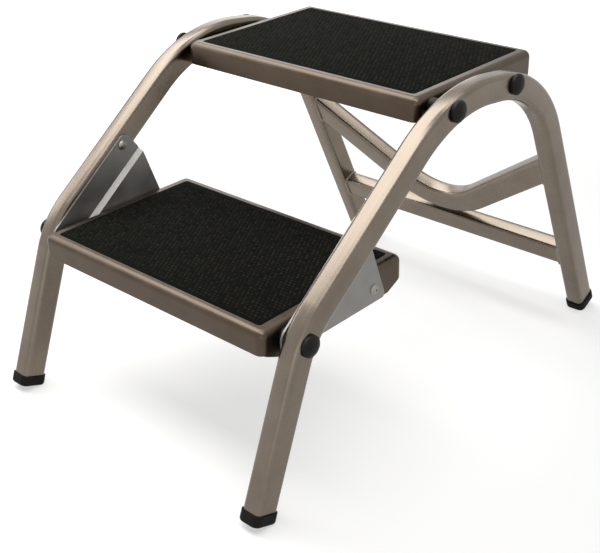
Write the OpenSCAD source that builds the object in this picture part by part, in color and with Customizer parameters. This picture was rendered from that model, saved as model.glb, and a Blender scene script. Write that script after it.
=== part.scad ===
// Free-standing two-tread caravan step: bent aluminium tube side frames, pressed tread pans with
// rubber mats, joggled lower brackets, a cross tube and a bow between the rear legs.
// Millimetres. X runs across the step, +Y from the front foot to the rear foot, +Z up.
// The origin is on the floor, in the middle of the footprint.

/* [Frame tube] */
// Width of the frame tube, across the step
tube_w = 26; // [22:1:30]
// Depth of the frame tube, in the plane of its bends
tube_d = 34; // [30:1:38]
// Outer corner radius of the frame tube
tube_corner_r = 7; // [5:0.5:8]
// Wall of the frame tube
tube_wall = 1.6; // [1.2:0.1:2.4]
// How much a bend draws in the tube's section, at each side
bend_draw = 0.02; // [0.01:0.01:0.05]

/* [Side frame] */
// Angle of the front leg above the floor
front_leg_angle = 71.1; // [67:0.1:74]
// Straight length of the front leg, from the floor
front_leg_run = 189; // [175:1:205]
// Centre-line radius of the bend above the front leg
lower_bend_r = 117; // [100:1:135]
// Angle of the straight between the two treads
slope_angle = 39.6; // [36:0.1:42]
// Length of the straight between the two treads
slope_run = 205; // [195:1:225]
// Centre-line radius of the bend in front of the crest
upper_bend_r = 197; // [180:1:215]
// Angle at which the crest falls to the rear
crest_fall = 4.4; // [3:0.1:7]
// Straight length on the crest
crest_run = 21; // [10:1:30]
// Centre-line radius of the bend behind the crest
rear_bend_r = 160; // [145:1:175]
// Angle of the rear leg above the floor
rear_leg_angle = 62.9; // [60:0.1:68]

/* [Rear bracing] */
// Height of the cross tube's centre above the floor
cross_tube_height = 103; // [90:0.5:115]
// Distance along the leg from the cross tube's centre to the bow's lowest centre
bow_rise = 44; // [42:1:60]
// Centre-line radius of the bow
bow_r = 107; // [95:1:130]
// Angle of the bow's arms above the cross tube
bow_angle = 38; // [32:0.5:42]
// Depth of the bow's tube, in the plane of its bend
bow_tube_d = 37; // [34:0.5:40]

/* [Treads] */
// Width of a mat
mat_w = 350; // [320:1:380]
// Depth of a mat, front to back
mat_d = 216.5; // [200:0.5:235]
// Thickness of a mat
mat_t = 3; // [2.6:0.1:4]
// Corner radius of a mat
mat_corner_r = 4; // [2:0.5:8]
// Depth of the recess that a mat lies in
recess_depth = 2; // [1:0.1:2.4]
// Gap round a mat in its recess
mat_gap = 0.4; // [0.2:0.1:1]
// Rim in front of a mat
rim_front = 13.3; // [10:0.1:18]
// Rim behind a mat
rim_rear = 13; // [9:0.1:16]
// Rim at each side of a mat
rim_side = 15; // [9:0.5:17]
// Sheet of the pans
pan_sheet = 2; // [1.5:0.1:2.5]
// Radius of the pans' upright corners
pan_corner_r = 10; // [8:0.5:14]
// Radius of the pans' top edge
pan_edge_r = 4.5; // [3.5:0.1:6]
// Depth of the pans' front and rear lips
lip_depth = 29; // [24:0.5:32]
// Depth of the pans' side flanges
flange_depth = 40.5; // [38:0.5:46]
// Distance from a pan's front and rear to where its side flanges begin to deepen
flange_setback = 4; // [3:0.5:8]
// Angle of the side flanges' lower edge at both ends
flange_slope = 25; // [20:1:40]
// Angle at which the treads fall to the front
tread_fall = 2.6; // [0:0.1:4]

/* [Tread bolts] */
// Distance from the crest to the upper tread's front bolts
upper_bolt_ahead = 64; // [55:1:72]
// Distance from the crest to the upper tread's rear bolts
upper_bolt_behind = 57; // [45:1:62]
// Distance from the upper pan's front to its front bolts
upper_bolt_setback = 27; // [22:1:34]
// Height of the upper bolts above the frame tube's centre line
upper_bolt_raise = 4; // [0:0.1:5]
// Depth of the upper front bolts below the rim
upper_bolt_drop = 13.3; // [13.3:0.1:18]
// Distance from the top of the front leg's straight to the lower tread's bolts, along the floor
lower_bolt_ahead = 9; // [4:1:14]
// Distance from the lower pan's front to its bolts
lower_bolt_setback = 35; // [30:1:42]
// Height of the lower bolts above the frame tube's centre line
lower_bolt_raise = 3; // [0:0.1:5]
// Depth of the lower bolts below the rim
lower_bolt_drop = 15.2; // [14:0.1:20]
// Diameter of the bolts
bolt_d = 8; // [6:0.5:9]
// Clearance of the bolt holes, on the diameter
bolt_hole_gap = 0.5; // [0.3:0.1:1]
// Width across the flats of bolt heads and nuts
hex_flats = 13; // [12:0.5:13.5]
// Height of the bolt heads
head_h = 5.3; // [4:0.1:5.6]
// Height of the nuts, flange included
nut_h = 8; // [6:0.5:10]
// Clearance between a bolt and its nut, on the diameter
thread_gap = 0.2; // [0.1:0.1:0.3]
// Diameter of the nuts' flange
nut_flange_d = 17.5; // [16:0.5:19]
// Thickness of the nuts' flange
nut_flange_t = 1.6; // [1:0.1:2]
// Length of bolt that stands out of a nut
bolt_tail = 2; // [1:0.5:4]

/* [Spacers and covers] */
// Gap between a pan and a side frame
frame_gap = 9.8; // [8:0.1:13]
// Diameter of the plastic spacers
spacer_d = 18; // [17.5:0.5:24]
// Diameter of the bolt covers
cover_d = 26; // [23:0.5:27]
// Height of the bolt covers
cover_h = 9; // [7.6:0.1:10]
// Height of the covers' straight rim
cover_rim_h = 4; // [3:0.1:4.5]
// Clearance round and above a bolt head under its cover
cover_gap = 0.2; // [0.1:0.1:0.4]

/* [Brackets] */
// Sheet of the brackets
bracket_sheet = 2.5; // [2:0.1:3]
// Radius of the bracket's end round the lower bolt
bracket_end_r = 14.5; // [13:0.5:17]
// Radius of the bracket's upper front corner
bracket_top_r = 10; // [6:0.5:12]
// Radius of the bracket's rear corners
bracket_rear_r = 5; // [3:0.5:8]
// Distance from the bracket's front edge to the frame tube's upper face
bracket_edge_inset = 7; // [5:0.5:9]
// Distance from the lower bend to the bracket's upper rivet, along the slope
upper_rivet_along = 101; // [90:1:112]
// Length of bracket above its upper rivet
upper_rivet_margin = 15; // [12:1:18]
// Distance from the frame tube's underside to the joggle
joggle_inset = 8.8; // [6:0.2:12]
// Length of the joggle's slanted web, measured down the bracket
joggle_run = 4; // [3:0.2:7]
// Distance from the lower pan's rear to the bracket's lower rivet
lower_rivet_setback = 57; // [50:1:64]
// Depth of the bracket's lower rivet below the rim
lower_rivet_drop = 23.5; // [20:0.5:27]
// Length of bracket behind its lower rivet
lower_rivet_margin = 19; // [14:1:24]
// Diameter of the rivets' shank
rivet_d = 5; // [4:0.2:6]
// Clearance of the rivet holes, on the diameter
rivet_hole_gap = 0.2; // [0.1:0.1:0.5]
// Diameter of the rivets' domed head
rivet_head_d = 13.5; // [11:0.5:15]
// Height of the rivets' domed head
rivet_head_h = 3.5; // [2.5:0.1:4]
// Diameter of the rivets' closed end
rivet_tail_d = 8; // [7:0.5:9]
// Length of the rivets' closed end
rivet_tail_h = 3; // [2:0.5:4]

/* [Feet] */
// Thickness of rubber under the tube's end
foot_pad = 3; // [2:0.5:5]
// Radius of the rubber foot's sole edge
foot_edge_r = 4; // [2:0.5:6]
// Height of sole edge that is pressed flat on the floor
foot_flat = 1.5; // [0.5:0.1:1.8]
// Wall of the rubber foot round the tube
foot_wall = 1.8; // [1.4:0.1:3]
// Gap between the rubber foot and the tube
foot_gap = 0.15; // [0.1:0.05:0.3]
// Height of the rubber foot, along the leg
foot_run = 14; // [11:0.5:20]
// Length of the foot's plug inside the tube
foot_plug_run = 12; // [8:1:18]

/* [Hidden] */
$fn = 64;
LEFT = -1;
RIGHT = 1;
SIDES = [LEFT, RIGHT];
// Length by which cutters pass the faces that they cut
cut = 1;
// Length by which a straight laps over the start of a bend, which is thinner by the draw
bend_lap = 0.8;
// Length that reaches past any part of the step
reach = 2000;

pan_w = mat_w + 2 * rim_side;
pan_d = mat_d + rim_front + rim_rear;
pan_side = pan_w / 2;
frame_inner = pan_side + frame_gap;
frame_x = frame_inner + tube_w / 2;
frame_outer = frame_inner + tube_w;
tube_half = tube_d / 2;

// Side frame's centre line from the front foot, in [y, z]. Each run is a straight and then a bend:
// [straight length, bend radius, angle that the bend turns down]
frame_runs = [
    [front_leg_run, lower_bend_r, front_leg_angle - slope_angle],
    [slope_run, upper_bend_r, slope_angle + crest_fall],
    [crest_run, rear_bend_r, rear_leg_angle - crest_fall]
];

function heading(a) = [cos(a), sin(a)];
function below(a) = [sin(a), -cos(a)];
function run_angle(i) = i == 0 ? front_leg_angle : run_angle(i - 1) - frame_runs[i - 1][2];
function run_start(i) = i == 0 ? [0, 0] : bend_end(i - 1);
function bend_start(i) = run_start(i) + frame_runs[i][0] * heading(run_angle(i));
function bend_centre(i) = bend_start(i) + frame_runs[i][1] * below(run_angle(i));
function bend_end(i) = bend_centre(i) - frame_runs[i][1] * below(run_angle(i + 1));
// Point of the centre line at a distance along the floor, on the bend i
function on_bend(i, y) = [y, bend_centre(i)[1] + sqrt(frame_runs[i][1]^2 - (y - bend_centre(i)[0])^2)];

slope_start = run_start(1);
crest_y = bend_centre(1)[0];
rear_leg_top = run_start(3);
rear_leg_run = rear_leg_top[1] / sin(rear_leg_angle);
rear_foot_y = rear_leg_top[0] + rear_leg_run * cos(rear_leg_angle);
// Point of the rear leg's centre line at a height
function on_rear_leg(z) = [rear_foot_y - z / tan(rear_leg_angle), z];

foot_out = foot_gap + foot_wall;
// Distance from the sole edge's arc centre to the middle of the sole
sole_half = tube_half + foot_out - foot_edge_r;
// Distance up the leg from the floor to the middle of the sole, on a leg at an angle
function foot_rise(a) = (foot_edge_r - foot_flat + sole_half * cos(a)) / sin(a) - foot_edge_r;
// How far a foot reaches out along the floor from its leg's centre line
function foot_reach(a) = sole_half * sin(a) + foot_edge_r - (foot_rise(a) + foot_edge_r) * cos(a);
foot_front_y = -foot_reach(front_leg_angle);
foot_rear_y = rear_foot_y + foot_reach(rear_leg_angle);
middle_y = (foot_front_y + foot_rear_y) / 2;

// Bolt centres on the side frame's centre line, in [y, z]
upper_bolt_points = [on_bend(1, crest_y - upper_bolt_ahead) + [0, upper_bolt_raise],
    on_bend(2, crest_y + upper_bolt_behind) + [0, upper_bolt_raise]];
lower_bolt_point = on_bend(0, bend_start(0)[0] + lower_bolt_ahead) + [0, lower_bolt_raise];
bolt_hole_d = bolt_d + bolt_hole_gap;
bolt_end = pan_side - pan_sheet - nut_h - bolt_tail;

// Rim's front edge of each tread on its middle line, in [y, z]
function turned(p, a) = [p[0] * cos(a) - p[1] * sin(a), p[0] * sin(a) + p[1] * cos(a)];
upper_tread_at = upper_bolt_points[0] + turned([-upper_bolt_setback, upper_bolt_drop], tread_fall);
lower_tread_at = lower_bolt_point + turned([-lower_bolt_setback, lower_bolt_drop], tread_fall);
function on_lower_tread(p) = lower_tread_at + turned(p, tread_fall);

// Points of a bracket: along the slope and above its centre line, or from the lower pan's front rim
function on_slope(along, above) = slope_start + along * heading(slope_angle) - above * below(slope_angle);
bracket_top_along = upper_rivet_along + upper_rivet_margin;
bracket_edge = tube_half - bracket_edge_inset;
joggle_top = -tube_half - joggle_inset;
upper_rivet_point = on_slope(upper_rivet_along, 0);
lower_rivet_point = on_lower_tread([pan_d - lower_rivet_setback, -lower_rivet_drop]);
bracket_rear = pan_d - lower_rivet_setback + lower_rivet_margin;
rivet_hole_d = rivet_d + rivet_hole_gap;

// Each corner of the bracket's outline is a circle [[y, z], radius], counter-clockwise
bracket_corners = [
    [on_lower_tread([lower_bolt_setback, bracket_end_r - flange_depth]), bracket_end_r],
    [on_lower_tread([bracket_rear - bracket_rear_r, bracket_rear_r - flange_depth]), bracket_rear_r],
    [on_slope(bracket_top_along - bracket_rear_r, joggle_top + bracket_rear_r), bracket_rear_r],
    [on_slope(bracket_top_along - bracket_top_r, bracket_edge - bracket_top_r), bracket_top_r],
    [lower_bolt_point, bracket_end_r]
];

// Rectangle with round corners about the origin
module rounded_rect(w, d, r) {
    square([w - 2 * r, d], center = true);
    square([w, d - 2 * r], center = true);
    for (x = [-1, 1], y = [-1, 1])
        translate([x * (w / 2 - r), y * (d / 2 - r)]) circle(r);
}

// Normal of the line that touches two corner circles on the outline's outer side
function touch_normal(from, to) =
    let (way = (to[0] - from[0]) / norm(to[0] - from[0]),
         lean = (from[1] - to[1]) / norm(to[0] - from[0]))
    lean * way + sqrt(1 - lean^2) * [way[1], -way[0]];

// Outline round corner circles: straight edges that touch them, and their arcs
module round_cornered(corners) {
    ends = [for (i = [0 : len(corners) - 1])
        let (from = corners[i], to = corners[(i + 1) % len(corners)], n = touch_normal(from, to))
        each [from[0] + from[1] * n, to[0] + to[1] * n]];
    polygon(ends);
    for (corner = corners) translate(corner[0]) circle(corner[1]);
}

// Section of a tube, taken in by an inset: local X across the bend's plane, local Y in it
module tube_section(inset, depth = tube_d) {
    rounded_rect(tube_w - 2 * inset, depth - 2 * inset, tube_corner_r - inset);
}

// Bent tube along its runs. It starts along +Z, and its bends turn to +Y.
module bent_tube(runs, inset, depth = tube_d, i = 0) {
    length = runs[i][0];
    radius = runs[i][1];
    turn = runs[i][2];
    lap_before = i == 0 ? 0 : bend_lap;
    lap_after = turn > 0 ? bend_lap : 0;
    translate([0, 0, -lap_before]) linear_extrude(lap_before + length + lap_after)
        tube_section(inset, depth);
    if (turn > 0)
        translate([0, radius, length]) {
            rotate([90, 0, -90]) rotate_extrude(angle = turn, $fn = 180)
                translate([radius, 0]) rotate(90) tube_section(inset + bend_draw, depth, $fn = 64);
            rotate([-turn, 0, 0]) translate([0, -radius, 0]) bent_tube(runs, inset, depth, i + 1);
        }
}

// Extrusion of a [y, z] outline between two planes across the step
module across(x0, x1) {
    translate([x0, 0, 0]) rotate([90, 0, 90]) linear_extrude(x1 - x0) children();
}

// Moves from the front foot's centre to the middle of the footprint
module from_front_foot() {
    translate([0, -middle_y, 0]) children();
}

// Mirrors what is drawn for the right side onto the side that is named
module on_side(side) {
    mirror([side < 0 ? 1 : 0, 0, 0]) children();
}

// Side frame's tube, taken in by an inset and made longer at both ends
module side_tube(inset, longer) {
    front_end = foot_rise(front_leg_angle) + foot_pad - longer;
    rear_end = foot_rise(rear_leg_angle) + foot_pad - longer;
    runs = [[front_leg_run - front_end, lower_bend_r, front_leg_angle - slope_angle],
        frame_runs[1], frame_runs[2], [rear_leg_run - rear_end, 0, 0]];
    translate([frame_x, 0, 0]) rotate([front_leg_angle - 90, 0, 0]) translate([0, 0, front_end])
        bent_tube(runs, inset);
}

// Everything below a height
module under(z) {
    translate([-reach / 2, -reach / 2, z - reach]) cube(reach);
}

// Hole across the right side at a point [y, z], between two planes
module cross_hole(point, d, x0, x1) {
    across(x0, x1) translate(point) circle(d = d);
}

module side_frame(side) {
    color("#9c8e80") on_side(side) from_front_foot() difference() {
        side_tube(0, 0);
        side_tube(tube_wall, cut);
        for (point = [upper_bolt_points[0], upper_bolt_points[1], lower_bolt_point])
            cross_hole(point, bolt_hole_d, frame_inner - cut, frame_outer + cut);
        cross_hole(upper_rivet_point, rivet_hole_d, frame_inner - cut, frame_x);
    }
}

// Frame with its origin on the rear legs' plane: local X across the step, local Z down the leg
module at_rear_leg(point) {
    translate([0, point[0], point[1]]) rotate([-90 - rear_leg_angle, 0, 0]) children();
}

// Tube between the rear legs, coped to their inner faces
module between_legs() {
    from_front_foot() difference() {
        intersection() {
            children();
            cube([2 * (frame_inner + tube_corner_r), reach, reach], center = true);
        }
        for (side = SIDES) on_side(side) side_tube(0, 0);
    }
}

module cross_bar(inset) {
    at_rear_leg(on_rear_leg(cross_tube_height)) rotate([0, 90, 0])
        linear_extrude(2 * frame_x, center = true) rotate(90) tube_section(inset);
}

module rear_cross_tube() {
    color("#8f8173") between_legs() difference() {
        cross_bar(0);
        cross_bar(tube_wall);
    }
}

module bow_bar(inset) {
    lowest = on_rear_leg(cross_tube_height + bow_rise * sin(rear_leg_angle));
    arm = frame_x / cos(bow_angle) - bow_r * tan(bow_angle);
    arm_x = -bow_r * sin(bow_angle) - arm * cos(bow_angle);
    arm_z = -bow_r * (1 - cos(bow_angle)) - arm * sin(bow_angle);
    at_rear_leg(lowest) translate([arm_x, 0, arm_z]) rotate([0, 90 - bow_angle, 0]) rotate([0, 0, -90])
        bent_tube([[arm, bow_r, 2 * bow_angle], [arm, 0, 0]], inset, bow_tube_d);
}

module rear_bow() {
    color("#8a7c6e") between_legs() difference() {
        bow_bar(0);
        bow_bar(tube_wall);
    }
}

// Side view of a block with round top corners, its top at zero
module edge_profile(w, h, r) {
    translate([-w / 2, -h]) square([w, h - r]);
    translate([r - w / 2, -h]) square([w - 2 * r, h]);
    for (x = [-1, 1]) translate([x * (w / 2 - r), -r]) circle(r);
}

// Block with round upright corners and a round top edge. Its top is at zero and its front at y = 0.
module rounded_block(w, d, h, corner_r, edge_r) {
    across(corner_r - w / 2, w / 2 - corner_r) translate([d / 2, 0]) edge_profile(d, h, edge_r);
    translate([0, d - corner_r, 0]) rotate([90, 0, 0])
        linear_extrude(d - 2 * corner_r) edge_profile(w, h, edge_r);
    for (x = [-1, 1], y = [corner_r, d - corner_r])
        translate([x * (w / 2 - corner_r), y, 0]) rotate_extrude()
            intersection() {
                edge_profile(2 * corner_r, h, edge_r);
                translate([0, -h]) square([corner_r, h]);
            }
}

// Slab in a mat's place, grown by a margin, between two heights
module mat_slab(margin, z0, z1) {
    translate([0, rim_front + mat_d / 2, z0]) linear_extrude(z1 - z0)
        rounded_rect(mat_w + 2 * margin, mat_d + 2 * margin, mat_corner_r + margin);
}

// What the pan's lower edge leaves away: all below the lips, but for the side flanges
module pan_trim() {
    deep_start = flange_setback + (flange_depth - lip_depth) / tan(flange_slope);
    difference() {
        translate([-pan_w / 2 - cut, -cut, -flange_depth - cut])
            cube([pan_w + 2 * cut, pan_d + 2 * cut, flange_depth + cut - lip_depth]);
        for (side = SIDES) on_side(side)
            across(pan_side - 3 * pan_sheet, pan_side + 2 * cut) polygon([
                [flange_setback, cut - lip_depth], [flange_setback, -lip_depth],
                [deep_start, -flange_depth], [pan_d - deep_start, -flange_depth],
                [pan_d - flange_setback, -lip_depth], [pan_d - flange_setback, cut - lip_depth]
            ]);
    }
}

// Pressed pan: rim, recess for the mat, lips and side flanges
module pan_shape() {
    difference() {
        union() {
            difference() {
                rounded_block(pan_w, pan_d, flange_depth, pan_corner_r, pan_edge_r);
                translate([0, pan_sheet, -pan_sheet])
                    rounded_block(pan_w - 2 * pan_sheet, pan_d - 2 * pan_sheet, flange_depth,
                        pan_corner_r - pan_sheet, pan_edge_r - pan_sheet);
            }
            mat_slab(mat_gap + pan_sheet, -recess_depth - pan_sheet, -pan_sheet / 2);
        }
        mat_slab(mat_gap, -recess_depth, cut);
        pan_trim();
    }
}

module on_tread(place) {
    from_front_foot() translate([0, place[0], place[1]]) rotate([tread_fall, 0, 0]) children();
}

module tread_pan(place, bolts, rivets) {
    color("#a39585") difference() {
        on_tread(place) pan_shape();
        for (side = SIDES) on_side(side) from_front_foot() {
            for (point = bolts)
                cross_hole(point, bolt_hole_d, pan_side - 2 * pan_sheet, pan_side + cut);
            for (point = rivets)
                cross_hole(point, rivet_hole_d, pan_side - 2 * pan_sheet, pan_side + cut);
        }
    }
}

module tread_mat(place) {
    color("#1b1b17") on_tread(place) mat_slab(0, -recess_depth, mat_t - recess_depth);
}

// Sheet bent twice along the slope: flat on the frame above the joggle, flat on the pan below it
module joggled_sheet() {
    low = joggle_top - joggle_run;
    shift = bracket_sheet * tan(atan2(frame_gap - bracket_sheet, joggle_run) / 2);
    translate([0, slope_start[0], slope_start[1]]) rotate([slope_angle, 0, 0]) rotate([-90, -90, 0])
        linear_extrude(reach, center = true) polygon([
            [reach, frame_inner], [joggle_top, frame_inner],
            [low, pan_side + bracket_sheet], [-reach, pan_side + bracket_sheet],
            [-reach, pan_side], [low + shift, pan_side],
            [joggle_top + shift, frame_inner - bracket_sheet], [reach, frame_inner - bracket_sheet]
        ]);
}

module bracket(side) {
    color("#77706e") on_side(side) from_front_foot() difference() {
        intersection() {
            joggled_sheet();
            across(pan_side - cut, frame_inner + cut) round_cornered(bracket_corners);
        }
        cross_hole(lower_bolt_point, bolt_hole_d, pan_side - cut, frame_inner + cut);
        cross_hole(upper_rivet_point, rivet_hole_d, pan_side - cut, frame_inner + cut);
        cross_hole(lower_rivet_point, rivet_hole_d, pan_side - cut, frame_inner + cut);
    }
}

// Outline inside a rubber foot: the tube's, grown by a margin
module foot_section(margin) {
    rounded_rect(tube_w + 2 * margin, tube_d + 2 * margin, tube_corner_r + margin);
}

// Rubber foot on a leg at an angle, about the point where the leg's centre line meets the floor
module foot(angle) {
    plug = tube_wall + foot_gap;
    depth = tube_d + 2 * foot_out;
    difference() {
        rotate([angle - 90, 0, 0]) translate([0, 0, foot_rise(angle)]) difference() {
            translate([0, depth / 2, 0]) rotate([180, 0, 0])
                rounded_block(tube_w + 2 * foot_out, depth, foot_run, tube_corner_r + foot_out, foot_edge_r);
            translate([0, 0, foot_pad]) difference() {
                linear_extrude(foot_run) foot_section(foot_gap);
                translate([0, 0, -cut]) linear_extrude(foot_plug_run + cut) foot_section(-plug);
            }
        }
        under(0);
    }
}

module front_foot(side) {
    color("#15150f") on_side(side) from_front_foot() translate([frame_x, 0, 0]) foot(front_leg_angle);
}

module rear_foot(side) {
    color("#15150f") on_side(side) from_front_foot() translate([frame_x, rear_foot_y, 0])
        mirror([0, 1, 0]) foot(rear_leg_angle);
}

// Repeats a fastener at points [y, z] of both sides, with local +Z out of the step from a plane
module at_bolts(points, x) {
    for (side = SIDES, point = points)
        on_side(side) from_front_foot() translate([x, point[0], point[1]]) rotate([0, 90, 0]) children();
}

module bolt() {
    cylinder(d = hex_flats / cos(30), h = head_h, $fn = 6);
    translate([0, 0, bolt_end - frame_outer]) cylinder(d = bolt_d, h = frame_outer - bolt_end + cut);
}

module nut() {
    difference() {
        union() {
            translate([0, 0, -nut_flange_t]) cylinder(d = nut_flange_d, h = nut_flange_t);
            translate([0, 0, -nut_h]) cylinder(d = hex_flats / cos(30), h = nut_h, $fn = 6);
        }
        translate([0, 0, -nut_h - cut]) cylinder(d = bolt_d + thread_gap, h = nut_h + 2 * cut);
    }
}

// Domed plastic cap over a bolt head
module bolt_cover() {
    dome_h = cover_h - cover_rim_h;
    dome_r = (cover_d^2 / 4 + dome_h^2) / (2 * dome_h);
    difference() {
        intersection() {
            cylinder(d = cover_d, h = cover_h);
            translate([0, 0, cover_h - dome_r]) sphere(dome_r);
        }
        translate([0, 0, -cut]) cylinder(d = hex_flats / cos(30) + 2 * cover_gap, h = head_h + cover_gap + cut);
    }
}

module spacer(length) {
    difference() {
        cylinder(d = spacer_d, h = length);
        translate([0, 0, -cut]) cylinder(d = bolt_hole_d, h = length + 2 * cut);
    }
}

// Blind rivet with its head above zero and its closed end below the sheets that it grips
module rivet(grip) {
    dome_r = (rivet_head_d^2 / 4 + rivet_head_h^2) / (2 * rivet_head_h);
    intersection() {
        cylinder(d = rivet_head_d, h = rivet_head_h);
        translate([0, 0, rivet_head_h - dome_r]) sphere(dome_r);
    }
    translate([0, 0, -grip - rivet_tail_h]) cylinder(d = rivet_tail_d, h = rivet_tail_h);
    translate([0, 0, -grip - cut]) cylinder(d = rivet_d, h = grip + 2 * cut);
}

module upper_bolts() {
    color("#b5b1aa") at_bolts(upper_bolt_points, frame_outer) bolt();
}

module upper_nuts() {
    color("#b5b1aa") at_bolts(upper_bolt_points, pan_side - pan_sheet) nut();
}

module upper_bolt_covers() {
    color("#15150f") at_bolts(upper_bolt_points, frame_outer) bolt_cover();
}

module upper_spacers() {
    color("#15150f") at_bolts(upper_bolt_points, pan_side) spacer(frame_gap);
}

module lower_bolts() {
    color("#b5b1aa") at_bolts([lower_bolt_point], frame_outer) bolt();
}

module lower_nuts() {
    color("#b5b1aa") at_bolts([lower_bolt_point], pan_side - pan_sheet) nut();
}

module lower_bolt_covers() {
    color("#15150f") at_bolts([lower_bolt_point], frame_outer) bolt_cover();
}

module lower_spacers() {
    color("#15150f") at_bolts([lower_bolt_point], pan_side) spacer(frame_gap - bracket_sheet);
}

module bracket_frame_rivets() {
    color("#9a9590") at_bolts([upper_rivet_point], frame_inner - bracket_sheet) rotate([180, 0, 0])
        rivet(bracket_sheet + tube_wall);
}

module bracket_pan_rivets() {
    color("#9a9590") at_bolts([lower_rivet_point], pan_side + bracket_sheet)
        rivet(bracket_sheet + pan_sheet);
}

side_frame(LEFT);  // left_side_frame
side_frame(RIGHT);  // right_side_frame
rear_cross_tube();
rear_bow();
tread_pan(upper_tread_at, upper_bolt_points, []);  // upper_tread_pan
tread_mat(upper_tread_at);  // upper_tread_mat
tread_pan(lower_tread_at, [lower_bolt_point], [lower_rivet_point]);  // lower_tread_pan
tread_mat(lower_tread_at);  // lower_tread_mat
bracket(LEFT);  // left_bracket
bracket(RIGHT);  // right_bracket
front_foot(LEFT);  // front_left_foot
front_foot(RIGHT);  // front_right_foot
rear_foot(LEFT);  // rear_left_foot
rear_foot(RIGHT);  // rear_right_foot
upper_bolts();
upper_nuts();
upper_bolt_covers();
upper_spacers();
lower_bolts();
lower_nuts();
lower_bolt_covers();
lower_spacers();
bracket_frame_rivets();
bracket_pan_rivets();
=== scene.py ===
"""Free-standing two-tread step of bent aluminium tube, dressed on its CAD frame.

Sizes are written in millimetres and turned to metres where a mesh is made. The object's own axes are kept:
X across the step, +Y from the lower tread to the upper one, Z up, with the origin on the floor.
"""
import math

import bmesh
import bpy
from mathutils import Matrix, Vector


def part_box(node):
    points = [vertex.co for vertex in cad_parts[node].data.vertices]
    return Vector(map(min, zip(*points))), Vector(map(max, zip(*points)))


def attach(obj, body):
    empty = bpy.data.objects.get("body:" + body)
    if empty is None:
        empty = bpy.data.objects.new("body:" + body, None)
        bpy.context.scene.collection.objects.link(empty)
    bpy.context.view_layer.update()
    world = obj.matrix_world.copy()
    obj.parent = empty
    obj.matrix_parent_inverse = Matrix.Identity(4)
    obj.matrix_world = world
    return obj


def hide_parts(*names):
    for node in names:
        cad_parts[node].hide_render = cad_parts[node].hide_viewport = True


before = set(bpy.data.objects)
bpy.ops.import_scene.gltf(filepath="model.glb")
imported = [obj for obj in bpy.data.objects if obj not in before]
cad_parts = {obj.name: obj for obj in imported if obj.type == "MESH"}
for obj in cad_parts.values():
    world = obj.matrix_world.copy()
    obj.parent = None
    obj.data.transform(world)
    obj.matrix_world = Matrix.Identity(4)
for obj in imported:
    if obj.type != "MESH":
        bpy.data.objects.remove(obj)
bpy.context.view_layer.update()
MM = 0.001

# Tube of the frame: width across the step, depth in the plane of its bends, outer corner radius, wall
TUBE_W = 26.0
TUBE_D = 34.0
TUBE_CORNER_R = 7.0
TUBE_WALL = 1.6

# Side frame's centre line, in degrees and millimetres
FRONT_LEG_ANGLE = 71.1
FRONT_LEG_RUN = 189.0
LOWER_BEND_R = 117.0
SLOPE_ANGLE = 39.6
SLOPE_RUN = 205.0
UPPER_BEND_R = 197.0
CREST_FALL = 4.4
CREST_RUN = 21.0
REAR_BEND_R = 160.0
REAR_LEG_ANGLE = 62.9
FRAME_X = 212.8

# Tubes between the rear legs
CROSS_TUBE_HEIGHT = 103.0
BOW_RISE = 44.0
BOW_R = 107.0
BOW_ANGLE = 38.0
BOW_TUBE_D = 37.0

# Treads and mats
TREAD_FALL = 2.6
MAT_W = 350.0
MAT_D = 216.5
MAT_T = 3.0
MAT_CORNER_R = 4.0
RECESS_DEPTH = 2.0
RIM_FRONT = 13.3
RIM_REAR = 13.0
RIM_SIDE = 15.0
PAN_CORNER_R = 10.0
PAN_BEND_R = 4.5
PAN_ROLL_R = 8.8
STUD_PITCH = 6.0
STUD_D = 3.8
STUD_H = 0.7
STUD_MARGIN = 3.0

# Rubber feet
FOOT_PAD = 3.0
FOOT_EDGE_R = 4.0
FOOT_FLAT = 1.5
FOOT_OUT = 1.95

# Fasteners
COVER_D = 26.0
COVER_H = 9.0
COVER_RIM_H = 4.0
RIVET_D = 5.0
RIVET_HEAD_D = 13.5
RIVET_HEAD_H = 3.5
RIVET_TAIL_D = 8.0
RIVET_TAIL_H = 3.0
MANDREL_HOLE_D = 2.8

# Welds round the ends of the rear tubes
BEAD_R = 2.4
BEAD_PITCH = 2.8

# Camera at the photograph's viewing angle
CAMERA_AZIMUTH = 42.12
CAMERA_ELEVATION = 26.30
CAMERA_ROLL = 0.27
CAMERA_DISTANCE = 1550.0
CAMERA_TARGET = (-45.1, 1.5, 88.9)
CAMERA_LENS = 65.475

# Light: the floor is lifted to white, and the world lights the object less than it shows
LIFT_UNDER = 0.66
LIFT_BESIDE = 0.43
WORLD_LIGHT = 0.10
PANEL_HEIGHT = 2170.0


def deg(angle):
    return math.radians(angle)


# ---- Nodes

def add(tree, kind, settings=None, inputs=None):
    """Adds a node. Settings are its own options. An input takes a value or another node's socket."""
    node = tree.nodes.new(kind)
    for name, value in (settings or {}).items():
        setattr(node, name, value)
    for key, value in (inputs or {}).items():
        if isinstance(value, bpy.types.NodeSocket):
            tree.links.new(value, node.inputs[key])
        else:
            node.inputs[key].default_value = value
    return node


def linear(hex_colour):
    """Linear colour of an sRGB hex value."""
    parts = [int(hex_colour[i:i + 2], 16) / 255 for i in (1, 3, 5)]
    return tuple(p / 12.92 if p <= 0.04045 else ((p + 0.055) / 1.055) ** 2.4 for p in parts) + (1.0,)


def new_tree(name, inputs):
    """Geometry tree with a geometry socket at both ends and named inputs: name -> (socket kind, value)."""
    tree = bpy.data.node_groups.new(name, "GeometryNodeTree")
    tree.interface.new_socket("Geometry", in_out="INPUT", socket_type="NodeSocketGeometry")
    tree.interface.new_socket("Geometry", in_out="OUTPUT", socket_type="NodeSocketGeometry")
    for label, kind in inputs.items():
        tree.interface.new_socket(label, in_out="INPUT", socket_type=kind)
    return tree


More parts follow.
